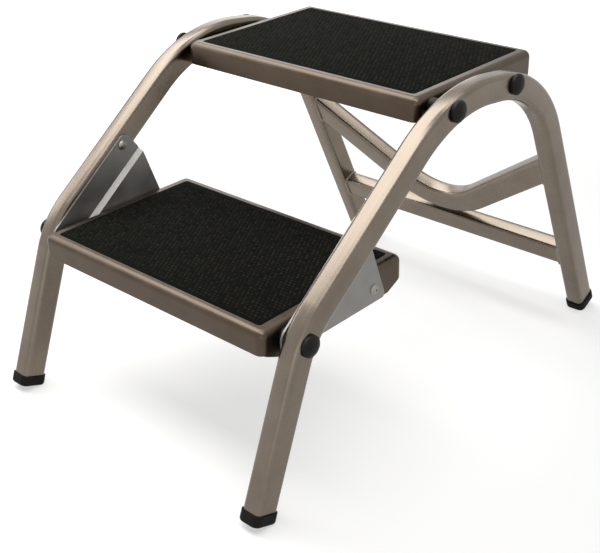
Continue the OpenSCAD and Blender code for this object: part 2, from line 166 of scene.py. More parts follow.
def run_tree(tree, source, values, name):
    """Runs a tree on an object with its named inputs set, and keeps the result as a plain mesh."""
    modifier = source.modifiers.new("tree", "NODES")
    modifier.node_group = tree
    for item in tree.interface.items_tree:
        if item.in_out == "INPUT" and item.name in values:
            modifier[item.identifier] = values[item.name]
    depsgraph = bpy.context.evaluated_depsgraph_get()
    mesh = bpy.data.meshes.new_from_object(source.evaluated_get(depsgraph), depsgraph=depsgraph)
    source.modifiers.clear()
    bpy.data.objects.remove(source)
    return mesh_piece(mesh, name)


# ---- Meshes

def mesh_piece(mesh, name):
    mesh.name = name
    piece = bpy.data.objects.new(name, mesh)
    bpy.context.scene.collection.objects.link(piece)
    return piece


def mesh_from(points, edges, faces, name):
    """Object with a mesh from points in millimetres."""
    mesh = bpy.data.meshes.new(name)
    mesh.from_pydata([Vector(p) * MM for p in points], edges, faces)
    return mesh_piece(mesh, name)


def face_outward(piece):
    """Turns the faces of closed shells outward."""
    work = bmesh.new()
    work.from_mesh(piece.data)
    bmesh.ops.recalc_face_normals(work, faces=work.faces)
    work.to_mesh(piece.data)
    work.free()


def shade(piece, angle):
    """Smooth shading, with edges past the angle kept sharp."""
    work = bmesh.new()
    work.from_mesh(piece.data)
    for face in work.faces:
        face.smooth = True
    for edge in work.edges:
        edge.smooth = edge.is_manifold and edge.calc_face_angle() < deg(angle)
    work.to_mesh(piece.data)
    work.free()


def even_normals(piece):
    """Lets the large flat faces set the shading, so that narrow bends beside them stay crisp."""
    modifier = piece.modifiers.new("normals", "WEIGHTED_NORMAL")
    modifier.keep_sharp = True
    modifier.weight = 80
    depsgraph = bpy.context.evaluated_depsgraph_get()
    mesh = bpy.data.meshes.new_from_object(piece.evaluated_get(depsgraph), depsgraph=depsgraph)
    piece.modifiers.clear()
    piece.data = mesh


def cad_copy(node, name, edge_r=0.0, angle=35.0, reshape=None):
    """Piece in the shape of a CAD node: loose triangles merged, flat faces joined, edges softened by a radius.

    reshape moves the merged points before flat faces are joined.
    """
    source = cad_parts[node].data
    mesh = bpy.data.meshes.new(name)
    mesh.from_pydata([v.co for v in source.vertices], [], [tuple(p.vertices) for p in source.polygons])
    work = bmesh.new()
    work.from_mesh(mesh)
    bmesh.ops.remove_doubles(work, verts=work.verts, dist=2e-6)
    if reshape:
        reshape(work)
        bmesh.ops.remove_doubles(work, verts=work.verts, dist=2e-6)
    bmesh.ops.dissolve_limit(work, angle_limit=deg(0.2), verts=work.verts, edges=work.edges)
    if edge_r:
        sharp = [e for e in work.edges if e.is_manifold and e.calc_face_angle() > deg(angle)]
        bmesh.ops.bevel(work, geom=sharp, offset=edge_r * MM, segments=2, profile=0.5, affect="EDGES", clamp_overlap=True)
    work.to_mesh(mesh)
    work.free()
    piece = mesh_piece(mesh, name)
    shade(piece, angle)
    even_normals(piece)
    return piece


def islands(node):
    """Lowest and highest corners of each loose part of a CAD node, in metres."""
    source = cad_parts[node].data
    work = bmesh.new()
    mesh = bpy.data.meshes.new("parts")
    mesh.from_pydata([v.co for v in source.vertices], [], [tuple(p.vertices) for p in source.polygons])
    work.from_mesh(mesh)
    bmesh.ops.remove_doubles(work, verts=work.verts, dist=2e-6)
    left = set(work.verts)
    boxes = []
    while left:
        part, front = set(), [left.pop()]
        while front:
            vert = front.pop()
            part.add(vert)
            for edge in vert.link_edges:
                other = edge.other_vert(vert)
                if other in left:
                    left.remove(other)
                    front.append(other)
        lo = Vector([min(v.co[i] for v in part) for i in range(3)])
        hi = Vector([max(v.co[i] for v in part) for i in range(3)])
        boxes.append((lo, hi))
    work.free()
    bpy.data.meshes.remove(mesh)
    return boxes


def turned_mesh(profile, sides, name):
    """Shape turned about Z from a profile [(radius, height), ...] that starts and ends on the axis."""
    points, faces, rings = [], [], []
    for radius, height in profile:
        if radius < 1e-6:
            rings.append([len(points)])
            points.append((0, 0, height))
            continue
        rings.append(list(range(len(points), len(points) + sides)))
        for i in range(sides):
            turn = 2 * math.pi * i / sides
            points.append((radius * math.cos(turn), radius * math.sin(turn), height))
    for low, high in zip(rings, rings[1:]):
        for i in range(sides):
            j = (i + 1) % sides
            face = [low[i % len(low)], low[j % len(low)], high[j % len(high)], high[i % len(high)]]
            faces.append(list(dict.fromkeys(face)))
    piece = mesh_from(points, [], faces, name)
    face_outward(piece)
    return piece


def arc(centre, radius, start, end, count):
    """Points on an arc of a profile, from one angle to another."""
    angles = [deg(start + (end - start) * i / count) for i in range(count + 1)]
    return [(centre[0] + radius * math.cos(a), centre[1] + radius * math.sin(a)) for a in angles]


# ---- Centre lines

def heading(angle):
    return Vector((math.cos(deg(angle)), math.sin(deg(angle))))


def bent_line(start, angle, runs, step=1.5):
    """Points of a tube's centre line in its plane: each run is a straight and a bend that turns down."""
    at = Vector(start)
    points = [at.copy()]
    for length, radius, turn in runs:
        if length:
            at = at + length * heading(angle)
            points.append(at.copy())
        count = max(1, round(abs(turn) / step)) if turn else 0
        side = heading(angle - 90) if turn > 0 else heading(angle + 90)
        centre = at + radius * side
        for i in range(1, count + 1):
            part = turn * i / count
            out = Matrix.Rotation(deg(-part), 2) @ (-side)
            points.append(centre + radius * out)
        angle -= turn
        at = points[-1].copy()
    return points


SOLE_HALF = TUBE_D / 2 + FOOT_OUT - FOOT_EDGE_R


def foot_rise(angle):
    """Distance up a leg from the floor to the middle of its sole."""
    rise = FOOT_EDGE_R - FOOT_FLAT + SOLE_HALF * math.cos(deg(angle))
    return rise / math.sin(deg(angle)) - FOOT_EDGE_R


def foot_reach(angle):
    """How far a foot reaches out from the point where its leg's centre line meets the floor."""
    out = SOLE_HALF * math.sin(deg(angle)) + FOOT_EDGE_R
    return out - (foot_rise(angle) + FOOT_EDGE_R) * math.cos(deg(angle))


side_runs = [
    (FRONT_LEG_RUN, LOWER_BEND_R, FRONT_LEG_ANGLE - SLOPE_ANGLE),
    (SLOPE_RUN, UPPER_BEND_R, SLOPE_ANGLE + CREST_FALL),
    (CREST_RUN, REAR_BEND_R, REAR_LEG_ANGLE - CREST_FALL),
]
rear_leg_top = bent_line((0, 0), FRONT_LEG_ANGLE, side_runs)[-1]
rear_leg_run = rear_leg_top[1] / math.sin(deg(REAR_LEG_ANGLE))
rear_foot_y = rear_leg_top[0] + rear_leg_run * math.cos(deg(REAR_LEG_ANGLE))
MIDDLE_Y = (rear_foot_y + foot_reach(REAR_LEG_ANGLE) - foot_reach(FRONT_LEG_ANGLE)) / 2


def side_line(x):
    """Centre line of a side frame's tube between its cut ends."""
    front_end = foot_rise(FRONT_LEG_ANGLE) + FOOT_PAD
    rear_end = foot_rise(REAR_LEG_ANGLE) + FOOT_PAD
    first = (FRONT_LEG_RUN - front_end, LOWER_BEND_R, FRONT_LEG_ANGLE - SLOPE_ANGLE)
    runs = [first] + side_runs[1:] + [(rear_leg_run - rear_end, 0, 0)]
    flat = bent_line(front_end * heading(FRONT_LEG_ANGLE), FRONT_LEG_ANGLE, runs)
    return [Vector((x, y - MIDDLE_Y, z)) for y, z in flat]


# Plane of the rear legs: up the leg, and out of the plane
UP_LEG = Vector((0, -math.cos(deg(REAR_LEG_ANGLE)), math.sin(deg(REAR_LEG_ANGLE))))
OFF_LEG = Vector((0, math.sin(deg(REAR_LEG_ANGLE)), math.cos(deg(REAR_LEG_ANGLE))))


def on_rear_plane(x, height, above=0.0):
    """Point between the rear legs: a height on the floor's scale, and a distance above it up the leg."""
    y = rear_foot_y - height / math.tan(deg(REAR_LEG_ANGLE))
    return Vector((x, y - MIDDLE_Y, height)) + above * UP_LEG


cross_line = [on_rear_plane(x, CROSS_TUBE_HEIGHT) for x in (-FRAME_X, 0, FRAME_X)]
bow_arm = FRAME_X / math.cos(deg(BOW_ANGLE)) - BOW_R * math.tan(deg(BOW_ANGLE))
bow_flat = bent_line((-FRAME_X, BOW_R * (1 - math.cos(deg(BOW_ANGLE))) + bow_arm * math.sin(deg(BOW_ANGLE))),
                     -BOW_ANGLE, [(bow_arm, BOW_R, -2 * BOW_ANGLE), (bow_arm, 0, 0)])
bow_line = [on_rear_plane(x, CROSS_TUBE_HEIGHT, BOW_RISE + up) for x, up in bow_flat]

# ---- Trees

tube_tree = new_tree("bent_tube", {
    "Width": "NodeSocketFloat", "Depth": "NodeSocketFloat", "Corner radius": "NodeSocketFloat",
    "Across": "NodeSocketVector", "Material": "NodeSocketMaterial",
})
t = tube_tree
given = add(t, "NodeGroupInput").outputs
path = add(t, "GeometryNodeMeshToCurve", None, {0: given["Geometry"]})
path = add(t, "GeometryNodeSetCurveNormal", {"mode": "FREE"}, {"Curve": path.outputs[0], "Normal": given["Across"]})
length = add(t, "GeometryNodeSplineParameter").outputs["Length"]
path = add(t, "GeometryNodeStoreNamedAttribute", {"data_type": "FLOAT", "domain": "POINT"},
           {"Geometry": path.outputs[0], "Name": "along", "Value": length})
section = add(t, "GeometryNodeCurvePrimitiveQuadrilateral", {"mode": "RECTANGLE"},
              {"Width": given["Width"], "Height": given["Depth"]})
section = add(t, "GeometryNodeFilletCurve", {"mode": "POLY"},
              {"Curve": section.outputs[0], "Count": 8, "Radius": given["Corner radius"]})
place = add(t, "GeometryNodeInputPosition").outputs[0]
section = add(t, "GeometryNodeStoreNamedAttribute", {"data_type": "FLOAT_VECTOR", "domain": "POINT"},
              {"Geometry": section.outputs[0], "Name": "section", "Value": place})
swept = add(t, "GeometryNodeCurveToMesh", None,
            {"Curve": path.outputs[0], "Profile Curve": section.outputs[0], "Fill Caps": True})
on_section = add(t, "GeometryNodeInputNamedAttribute", {"data_type": "FLOAT_VECTOR"}, {"Name": "section"})
parts = add(t, "ShaderNodeSeparateXYZ", None, {0: on_section.outputs[0]}).outputs
on_path = add(t, "GeometryNodeInputNamedAttribute", {"data_type": "FLOAT"}, {"Name": "along"})
# Each point keeps its place in the straight tube, before it was bent, for the grain of the metal
straight = add(t, "ShaderNodeCombineXYZ", None, {0: parts[0], 1: parts[1], 2: on_path.outputs[0]})
swept = add(t, "GeometryNodeStoreNamedAttribute", {"data_type": "FLOAT_VECTOR", "domain": "POINT"},
            {"Geometry": swept.outputs[0], "Name": "straight", "Value": straight.outputs[0]})
swept = add(t, "GeometryNodeRealizeInstances", None, {0: swept.outputs[0]})
swept = add(t, "GeometryNodeSetMaterial", None, {"Geometry": swept.outputs[0], "Material": given["Material"]})
add(t, "NodeGroupOutput", None, {0: swept.outputs[0]})

bead_tree = new_tree("weld_bead", {
    "Bead radius": "NodeSocketFloat", "Ripples": "NodeSocketFloat", "Ripple depth": "NodeSocketFloat",
    "Material": "NodeSocketMaterial",
})
t = bead_tree
given = add(t, "NodeGroupInput").outputs
path = add(t, "GeometryNodeMeshToCurve", None, {0: given["Geometry"]})
count = add(t, "ShaderNodeMath", {"operation": "MULTIPLY"}, {0: given["Ripples"], 1: 6.0})
path = add(t, "GeometryNodeResampleCurve", {"mode": "COUNT"}, {"Curve": path.outputs[0], "Count": count.outputs[0]})
part = add(t, "GeometryNodeSplineParameter").outputs["Factor"]
turns = add(t, "ShaderNodeMath", {"operation": "MULTIPLY"}, {0: part, 1: given["Ripples"]})
turns = add(t, "ShaderNodeMath", {"operation": "MULTIPLY"}, {0: turns.outputs[0], 1: 2 * math.pi})
wave = add(t, "ShaderNodeMath", {"operation": "SINE"}, {0: turns.outputs[0]})
swell = add(t, "ShaderNodeMath", {"operation": "MULTIPLY_ADD"}, {0: wave.outputs[0], 1: given["Ripple depth"], 2: 1.0})
ring = add(t, "GeometryNodeCurvePrimitiveCircle", {"mode": "RADIUS"}, {"Resolution": 10, "Radius": given["Bead radius"]})
swept = add(t, "GeometryNodeCurveToMesh", None,
            {"Curve": path.outputs[0], "Profile Curve": ring.outputs[0], "Scale": swell.outputs[0]})
swept = add(t, "GeometryNodeRealizeInstances", None, {0: swept.outputs[0]})
swept = add(t, "GeometryNodeSetMaterial", None, {"Geometry": swept.outputs[0], "Material": given["Material"]})
add(t, "NodeGroupOutput", None, {0: swept.outputs[0]})

stud_tree = new_tree("studded_mat", {
    "Length": "NodeSocketFloat", "Width": "NodeSocketFloat", "Pitch": "NodeSocketFloat", "Columns": "NodeSocketInt",
    "Rows": "NodeSocketInt", "Stud radius": "NodeSocketFloat", "Stud height": "NodeSocketFloat",
    "Top": "NodeSocketFloat", "Material": "NodeSocketMaterial",
})
t = stud_tree
given = add(t, "NodeGroupInput").outputs
grid = add(t, "GeometryNodeMeshGrid", None,
           {"Size X": given["Length"], "Size Y": given["Width"], "Vertices X": given["Columns"], "Vertices Y": given["Rows"]})
number = add(t, "GeometryNodeInputIndex").outputs[0]
row = add(t, "ShaderNodeMath", {"operation": "MODULO"}, {0: number, 1: given["Rows"]})
odd = add(t, "ShaderNodeMath", {"operation": "MODULO"}, {0: row.outputs[0], 1: 2.0})
# Every other row moves by half a pitch: a quarter one way, a quarter the other
shift = add(t, "ShaderNodeMath", {"operation": "MULTIPLY_ADD"}, {0: odd.outputs[0], 1: 0.5, 2: -0.25})
shift = add(t, "ShaderNodeMath", {"operation": "MULTIPLY"}, {0: shift.outputs[0], 1: given["Pitch"]})
shift = add(t, "ShaderNodeCombineXYZ", None, {0: shift.outputs[0], 2: given["Top"]})
grid = add(t, "GeometryNodeSetPosition", None, {"Geometry": grid.outputs[0], "Offset": shift.outputs[0]})
# Each stud has its own random share of a greyer tone, kept on all its points
stud_share = add(t, "FunctionNodeRandomValue", {"data_type": "FLOAT"}, {"Min": 0.05, "Max": 1.0, "Seed": 7}).outputs[1]
grid = add(t, "GeometryNodeStoreNamedAttribute", {"data_type": "FLOAT", "domain": "POINT"},
           {"Geometry": grid.outputs[0], "Name": "raised", "Value": stud_share})
shoulder = add(t, "ShaderNodeMath", {"operation": "MULTIPLY"}, {0: given["Stud radius"], 1: 0.62})
stud = add(t, "GeometryNodeMeshCone", {"fill_type": "NGON"},
           {"Vertices": 10, "Radius Top": shoulder.outputs[0], "Radius Bottom": given["Stud radius"], "Depth": given["Stud height"]})
studs = add(t, "GeometryNodeInstanceOnPoints", None, {"Points": grid.outputs[0], "Instance": stud.outputs[0]})
studs = add(t, "GeometryNodeRealizeInstances", None, {0: studs.outputs[0]})
both = add(t, "GeometryNodeJoinGeometry")
t.links.new(given["Geometry"], both.inputs[0])
t.links.new(studs.outputs[0], both.inputs[0])
both = add(t, "GeometryNodeSetMaterial", None, {"Geometry": both.outputs[0], "Material": given["Material"]})
add(t, "NodeGroupOutput", None, {0: both.outputs[0]})

repeat_tree = new_tree("repeated_fastener", {"Shape": "NodeSocketObject", "Material": "NodeSocketMaterial"})
t = repeat_tree
given = add(t, "NodeGroupInput").outputs
shape = add(t, "GeometryNodeObjectInfo", {"transform_space": "ORIGINAL"}, {"Object": given["Shape"]})
way = add(t, "GeometryNodeInputNamedAttribute", {"data_type": "FLOAT_VECTOR"}, {"Name": "way"})
turn = add(t, "FunctionNodeAlignRotationToVector", {"axis": "Z"}, {"Vector": way.outputs[0]})
copies = add(t, "GeometryNodeInstanceOnPoints", None,
             {"Points": given["Geometry"], "Instance": shape.outputs["Geometry"], "Rotation": turn.outputs[0]})
copies = add(t, "GeometryNodeRealizeInstances", None, {0: copies.outputs[0]})
copies = add(t, "GeometryNodeSetMaterial", None, {"Geometry": copies.outputs[0], "Material": given["Material"]})
add(t, "NodeGroupOutput", None, {0: copies.outputs[0]})

# ---- Materials

CREAM_FRAME = "#9a8e81"


def finish_of(name, colour, metallic, roughness, specular=0.5):
    """Material with its shader: returns the material, its tree and its Principled node."""
    material = bpy.data.materials.new(name)
    material.use_nodes = True
    shader = material.node_tree.nodes["Principled BSDF"]
    shader.inputs["Base Color"].default_value = linear(colour)
    shader.inputs["Metallic"].default_value = metallic
    shader.inputs["Roughness"].default_value = roughness
    shader.inputs["Specular IOR Level"].default_value = specular
    return material, material.node_tree, shader


def between(tree, value, low, high):
    """Spreads a noise value over a range."""
    return add(tree, "ShaderNodeMapRange", None, {"Value": value, "From Min": 0.3, "From Max": 0.7, "To Min": low, "To Max": high}).outputs[0]


def metal_surface(name, colour, pale, grain, grain_mm, run_mm, rough, straight=False, depth_mm=0.02):
    """Satin metal: fine grain lines along one axis, and soft clouds from handling and cleaning.

    grain names the axis along which the lines run; grain_mm is their spacing and run_mm their length.
    """
    material, tree, shader = finish_of(name, colour, 1.0, rough)
    if straight:
        coords = add(tree, "ShaderNodeAttribute", {"attribute_name": "straight"}).outputs["Vector"]
    else:
        coords = add(tree, "ShaderNodeTexCoord").outputs["Object"]
    scale = [1 / (run_mm * MM) if axis == grain else 1 / (grain_mm * MM) for axis in "XYZ"]
    lines = add(tree, "ShaderNodeMapping", None, {"Vector": coords, "Scale": scale})
    lines = add(tree, "ShaderNodeTexNoise", {"noise_dimensions": "3D"},
                {"Vector": lines.outputs[0], "Scale": 1.0, "Detail": 3.0, "Roughness": 0.6}).outputs["Fac"]
    clouds = add(tree, "ShaderNodeTexNoise", {"noise_dimensions": "3D"},
                 {"Vector": coords, "Scale": 1 / (38 * MM), "Detail": 4.0, "Roughness": 0.55}).outputs["Fac"]
    tone = add(tree, "ShaderNodeMix", {"data_type": "RGBA"},
               {"Factor": between(tree, clouds, 0.0, 1.0), "A": linear(colour), "B": linear(pale)})
    tree.links.new(tone.outputs["Result"], shader.inputs["Base Color"])
    haze = add(tree, "ShaderNodeMath", {"operation": "ADD"},
               {0: between(tree, clouds, -0.05, 0.05), 1: between(tree, lines, rough - 0.05, rough + 0.05)})
    tree.links.new(haze.outputs[0], shader.inputs["Roughness"])
    bump = add(tree, "ShaderNodeBump", None, {"Strength": 0.35, "Distance": depth_mm * MM, "Height": lines})
    tree.links.new(bump.outputs[0], shader.inputs["Normal"])
    return material


# Champagne-anodised extruded tube: satin, with die lines that run along the tube and follow its bends.
# Real die lines lie about 0.2 mm apart; they are drawn at 0.9 mm so that they show.
tube_metal = metal_surface("anodised_extruded_aluminium", "#6f655b", "#786e63", "Z", 0.9, 70, 0.27, straight=True)
# Pressed sheet with the same anodising as the tube, its colour painted darker as shade for the treads' lips: rolling
# lines across the tread, a little softer
pan_metal_painted_darker = metal_surface("anodised_pressed_sheet_painted_darker", "#4e443a", "#584d43", "X", 1.0, 45, 0.34)
# Mill-finish sheet: colder and greyer than the anodised pieces, with rolling lines along the bracket
bracket_metal = metal_surface("mill_finish_sheet", "#82807d", "#8e8c88", "Y", 0.8, 35, 0.50)
# Zinc-plated steel: bright, slightly cloudy
steel_metal = metal_surface("zinc_plated_steel", "#a9a8a4", "#bdbcb8", "Z", 0.6, 8, 0.32)
# Blind rivets of bright aluminium, upset by the tool
rivet_metal = metal_surface("bright_rivet_aluminium", "#8b8883", "#9a9792", "Z", 0.7, 6, 0.42)
# Weld metal: brighter than the anodised tube, its ripples are modelled
weld_metal = metal_surface("aluminium_weld_metal", "#7d746a", "#8a8177", "Y", 0.5, 3, 0.40)


def moulded_surface(name, colour, pale, grain_mm, rough, specular, depth_mm):
    """Moulded black rubber or plastic: an even fine grain from the mould and faint dusty clouds."""
    material, tree, shader = finish_of(name, colour, 0.0, rough, specular)
    coords = add(tree, "ShaderNodeTexCoord").outputs["Object"]
    grain = add(tree, "ShaderNodeTexNoise", None, {"Vector": coords, "Scale": 1 / (grain_mm * MM), "Detail": 2.0}).outputs["Fac"]
    dust = add(tree, "ShaderNodeTexNoise", None, {"Vector": coords, "Scale": 1 / (26 * MM), "Detail": 5.0, "Roughness": 0.6}).outputs["Fac"]
    tone = add(tree, "ShaderNodeMix", {"data_type": "RGBA"},
               {"Factor": between(tree, dust, 0.0, 1.0), "A": linear(colour), "B": linear(pale)})
    tree.links.new(tone.outputs["Result"], shader.inputs["Base Color"])
    tree.links.new(between(tree, dust, rough - 0.05, rough + 0.06), shader.inputs["Roughness"])
    bump = add(tree, "ShaderNodeBump", None, {"Strength": 0.5, "Distance": depth_mm * MM, "Height": grain})
    tree.links.new(bump.outputs[0], shader.inputs["Normal"])
    return material, tree, shader, tone


# Vulcanised rubber mat: matt, nearly black, its studs a little greyer than the slab, each by its own random share
mat_rubber, tree, shader, tone = moulded_surface("vulcanised_rubber_mat", "#0a0a08", "#0f0f0c", 0.8, 0.85, 0.03, 0.03)
raised = add(tree, "ShaderNodeAttribute", {"attribute_name": "raised"}).outputs["Fac"]
stud_tone = add(tree, "ShaderNodeMix", {"data_type": "RGBA"}, {"A": tone.outputs["Result"], "B": linear("#2c2b24")})
stud_tone_by = add(tree, "ShaderNodeMath", {"operation": "MULTIPLY"}, {0: raised, 1: 0.7})
tree.links.new(stud_tone_by.outputs[0], stud_tone.inputs["Factor"])
tree.links.new(stud_tone.outputs["Result"], shader.inputs["Base Color"])
# Moulded rubber feet: matt, scuffed grey in places
foot_rubber = moulded_surface("moulded_rubber_foot", "#10100e", "#191816", 0.7, 0.72, 0.15, 0.04)[0]
# Injection-moulded polypropylene covers and spacers: finer grain and more sheen than the rubber
black_plastic = moulded_surface("moulded_polypropylene", "#0d0d0c", "#131312", 0.5, 0.55, 0.18, 0.02)[0]

# ---- Pieces

pieces = []


def keep(piece, nodes=(), material=None):
    """Puts a finished piece on the frame, in the place of the nodes that it stands for."""
    if material:
        piece.data.materials.clear()
        piece.data.materials.append(material)
    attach(piece, "root")
    if nodes:
        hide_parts(*nodes)
    pieces.append(piece)
    return piece


def tube(line, across, name, depth=TUBE_D):
    """Bent tube along a centre line in millimetres, closed at its ends."""
    source = mesh_from(line, [(i, i + 1) for i in range(len(line) - 1)], [], name + "_line")
    piece = run_tree(tube_tree, source, {
        "Width": TUBE_W * MM, "Depth": depth * MM, "Corner radius": TUBE_CORNER_R * MM,
        "Across": tuple(across), "Material": tube_metal,
    }, name)
    face_outward(piece)
    return piece


def trim_to_legs(piece, over):
    """Cuts a tube between the legs just inside the wall of each leg, and closes the cuts."""
    end = (FRAME_X - TUBE_W / 2 + over) * MM
    work = bmesh.new()
    work.from_mesh(piece.data)
    for side in (-1, 1):
        geom = work.verts[:] + work.edges[:] + work.faces[:]
        cut = bmesh.ops.bisect_plane(work, geom=geom, plane_co=(side * end, 0, 0), plane_no=(side, 0, 0), clear_outer=True)
        rim = [e for e in cut["geom_cut"] if isinstance(e, bmesh.types.BMEdge)]
        bmesh.ops.edgeloop_fill(work, edges=rim)
    work.to_mesh(piece.data)
    work.free()


for side, word in ((-1, "left"), (1, "right")):
    piece = tube(side_line(side * FRAME_X), (1, 0, 0), word + "_frame_tube")
    shade(piece, 40)
    keep(piece, [word + "_side_frame"])

for line, depth, name, node in ((cross_line, TUBE_D, "cross_tube", "rear_cross_tube"),
                                (bow_line, BOW_TUBE_D, "bow_tube", "rear_bow")):
    piece = tube(line, OFF_LEG, name, depth)
    trim_to_legs(piece, 1.3)
    shade(piece, 40)
    keep(piece, [node])


def weld(name, at, depth, stretch):
    """Bead round a tube's end at a leg's inner face. A slanted tube stretches its outline up the leg."""
    side = 1 if at.x > 0 else -1
    outline = []
    half_w, half_d = TUBE_W / 2 - TUBE_CORNER_R, depth / 2 - TUBE_CORNER_R
    for k, (sw, sd) in enumerate(((1, 1), (-1, 1), (-1, -1), (1, -1))):
        for i in range(9):
            turn = deg(90 * k + 90 * i / 8)
            w = sw * half_w + TUBE_CORNER_R * math.cos(turn)
            d = (sd * half_d + TUBE_CORNER_R * math.sin(turn)) * stretch
            # The leg's own corner falls away beside the bead's outer parts
            beside = max(0.0, abs(w) - (TUBE_D / 2 - TUBE_CORNER_R))
            sink = TUBE_CORNER_R - math.sqrt(TUBE_CORNER_R ** 2 - beside ** 2)
            outline.append(at + w * OFF_LEG + d * UP_LEG + Vector((side * sink, 0, 0)))
    count = len(outline)
    source = mesh_from(outline, [(i, (i + 1) % count) for i in range(count)], [], name + "_line")
    round_length = sum((outline[i] - outline[i - 1]).length for i in range(count))
    piece = run_tree(bead_tree, source, {
        "Bead radius": BEAD_R * MM, "Ripples": float(round(round_length / BEAD_PITCH)), "Ripple depth": 0.14,
        "Material": weld_metal,
    }, name)
    face_outward(piece)
    shade(piece, 180)
    keep(piece)


bow_end_up = BOW_RISE + BOW_R * (1 - math.cos(deg(BOW_ANGLE))) + bow_arm * math.sin(deg(BOW_ANGLE))
inner = FRAME_X - TUBE_W / 2
for side, word in ((-1, "left"), (1, "right")):
    weld(word + "_cross_tube_weld", on_rear_plane(side * inner, CROSS_TUBE_HEIGHT), TUBE_D, 1.0)
    up = bow_end_up - TUBE_W / 2 * math.tan(deg(BOW_ANGLE))
    weld(word + "_bow_weld", on_rear_plane(side * inner, CROSS_TUBE_HEIGHT, up), BOW_TUBE_D, 1 / math.cos(deg(BOW_ANGLE)))


def tread_place(mat_node):
    """Middle of a tread's mat, with the tread's slope."""
    lo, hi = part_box(mat_node)
    return Matrix.Translation((lo + hi) / 2) @ Matrix.Rotation(deg(TREAD_FALL), 4, "X")


def fill_wall(work, across, outward):
    """Makes the flat wall that stands across X anew from its outline and its holes, with its face to one side."""
    wall = {f for f in work.faces if all(abs(v.co.x - across * MM) < 0.01 * MM for v in f.verts)}
    outline = [e for e in {e for f in wall for e in f.edges} if sum(f in wall for f in e.link_faces) == 1]
    bmesh.ops.delete(work, geom=list(wall), context="FACES")
    made = bmesh.ops.triangle_fill(work, use_beauty=True, use_dissolve=False, edges=outline)
    for face in made["geom"]:
        if isinstance(face, bmesh.types.BMFace):
            face.normal_update()
            if face.normal.x * outward < 0:
                face.normal_flip()


def rolled_rim(place):
    """Opens the small bend between rim and lips to the wide roll that the pressing has, on both sides of the sheet."""
    half_w = MAT_W / 2 + RIM_SIDE
    half_d = (MAT_D + RIM_FRONT + RIM_REAR) / 2
    middle_y = (RIM_REAR - RIM_FRONT) / 2
    rim_top = MAT_T / 2 - (MAT_T - RECESS_DEPTH)

    def reshape(work):
        back = place.inverted()
        for vert in work.verts:
            at = (back @ vert.co) / MM
            x, y, z = at.x, at.y - middle_y, at.z - rim_top
            out = Vector((abs(x) - (half_w - PAN_CORNER_R), abs(y) - (half_d - PAN_CORNER_R)))
            if out.x > 0 and out.y > 0:
                inward, way = PAN_CORNER_R - out.length, out.normalized()
            elif half_w - abs(x) < half_d - abs(y):
                inward, way = half_w - abs(x), Vector((1, 0))
            else:
                inward, way = half_d - abs(y), Vector((0, 1))
            if inward > PAN_BEND_R + 0.02 or z < -PAN_BEND_R - 0.02:
                continue
            turn = math.atan2(z + PAN_BEND_R, PAN_BEND_R - inward)
            radius = math.hypot(z + PAN_BEND_R, PAN_BEND_R - inward) + PAN_ROLL_R - PAN_BEND_R
            new_inward = PAN_ROLL_R - radius * math.cos(turn)
            if out.x > 0 and out.y > 0:
                new_inward = min(new_inward, PAN_CORNER_R)
            move = new_inward - inward
            x -= move * way.x * math.copysign(1, x)
            y -= move * way.y * math.copysign(1, y)
            new = Vector((x, y + middle_y, radius * math.sin(turn) - PAN_ROLL_R + rim_top))
            vert.co = place @ (new * MM)
        for side in (-1, 1):
            fill_wall(work, side * half_w, side)
            fill_wall(work, side * (half_w - RECESS_DEPTH), -side)
    return reshape


for word in ("upper", "lower"):
    roll = rolled_rim(tread_place(word + "_tread_mat"))
    piece = cad_copy(word + "_tread_pan", word + "_pan", edge_r=0.35, reshape=roll)
    # The pans take the sheet colour painted darker, as shade for their lips
    keep(piece, [word + "_tread_pan"], pan_metal_painted_darker)


def mat(node, name):
    """Rubber mat with studs in staggered rows, laid in its pan at the tread's slope."""
    base = MAT_T / 2 - STUD_H
    soft = 0.6
    half_w, half_d = MAT_W / 2 - MAT_CORNER_R, MAT_D / 2 - MAT_CORNER_R
    rings = []
    for z, inset in ((-MAT_T / 2, 0.0), (base - soft, 0.0), (base - 0.3 * soft, 0.3 * soft), (base, soft)):
        ring = []
        for k, (sx, sy) in enumerate(((1, 1), (-1, 1), (-1, -1), (1, -1))):
            for i in range(7):
                turn = deg(90 * k + 15 * i)
                radius = MAT_CORNER_R - inset
                ring.append((sx * half_w + radius * math.cos(turn), sy * half_d + radius * math.sin(turn), z))
        rings.append(ring)
    count = len(rings[0])
    faces = [tuple(range(count))[::-1], tuple(range(3 * count, 4 * count))]
    for r in range(3):
        for i in range(count):
            j = (i + 1) % count
            faces.append((r * count + i, r * count + j, (r + 1) * count + j, (r + 1) * count + i))
    slab = mesh_from([p for ring in rings for p in ring], [], faces, name + "_slab")
    row_pitch = STUD_PITCH * math.sqrt(3) / 2
    room_x = MAT_W - 2 * STUD_MARGIN - STUD_D - STUD_PITCH / 2
    room_y = MAT_D - 2 * STUD_MARGIN - STUD_D
    columns = int(room_x / STUD_PITCH) + 1
    rows = int(room_y / row_pitch) + 1
    piece = run_tree(stud_tree, slab, {
        "Length": (columns - 1) * STUD_PITCH * MM, "Width": (rows - 1) * row_pitch * MM, "Pitch": STUD_PITCH * MM,
        "Columns": columns, "Rows": rows, "Stud radius": STUD_D / 2 * MM, "Stud height": STUD_H * MM,
        "Top": base * MM, "Material": mat_rubber,
    }, name)
    piece.data.transform(tread_place(node))
    shade(piece, 30)
    keep(piece, [node])


mat("upper_tread_mat", "upper_mat")
mat("lower_tread_mat", "lower_mat")

for word in ("left", "right"):
    piece = cad_copy(word + "_bracket", word + "_joggled_bracket", edge_r=0.4)
    keep(piece, [word + "_bracket"], bracket_metal)

for word in ("front_left", "front_right", "rear_left", "rear_right"):
    piece = cad_copy(word + "_foot", word + "_rubber_foot", edge_r=0.4)
    keep(piece, [word + "_foot"], foot_rubber)


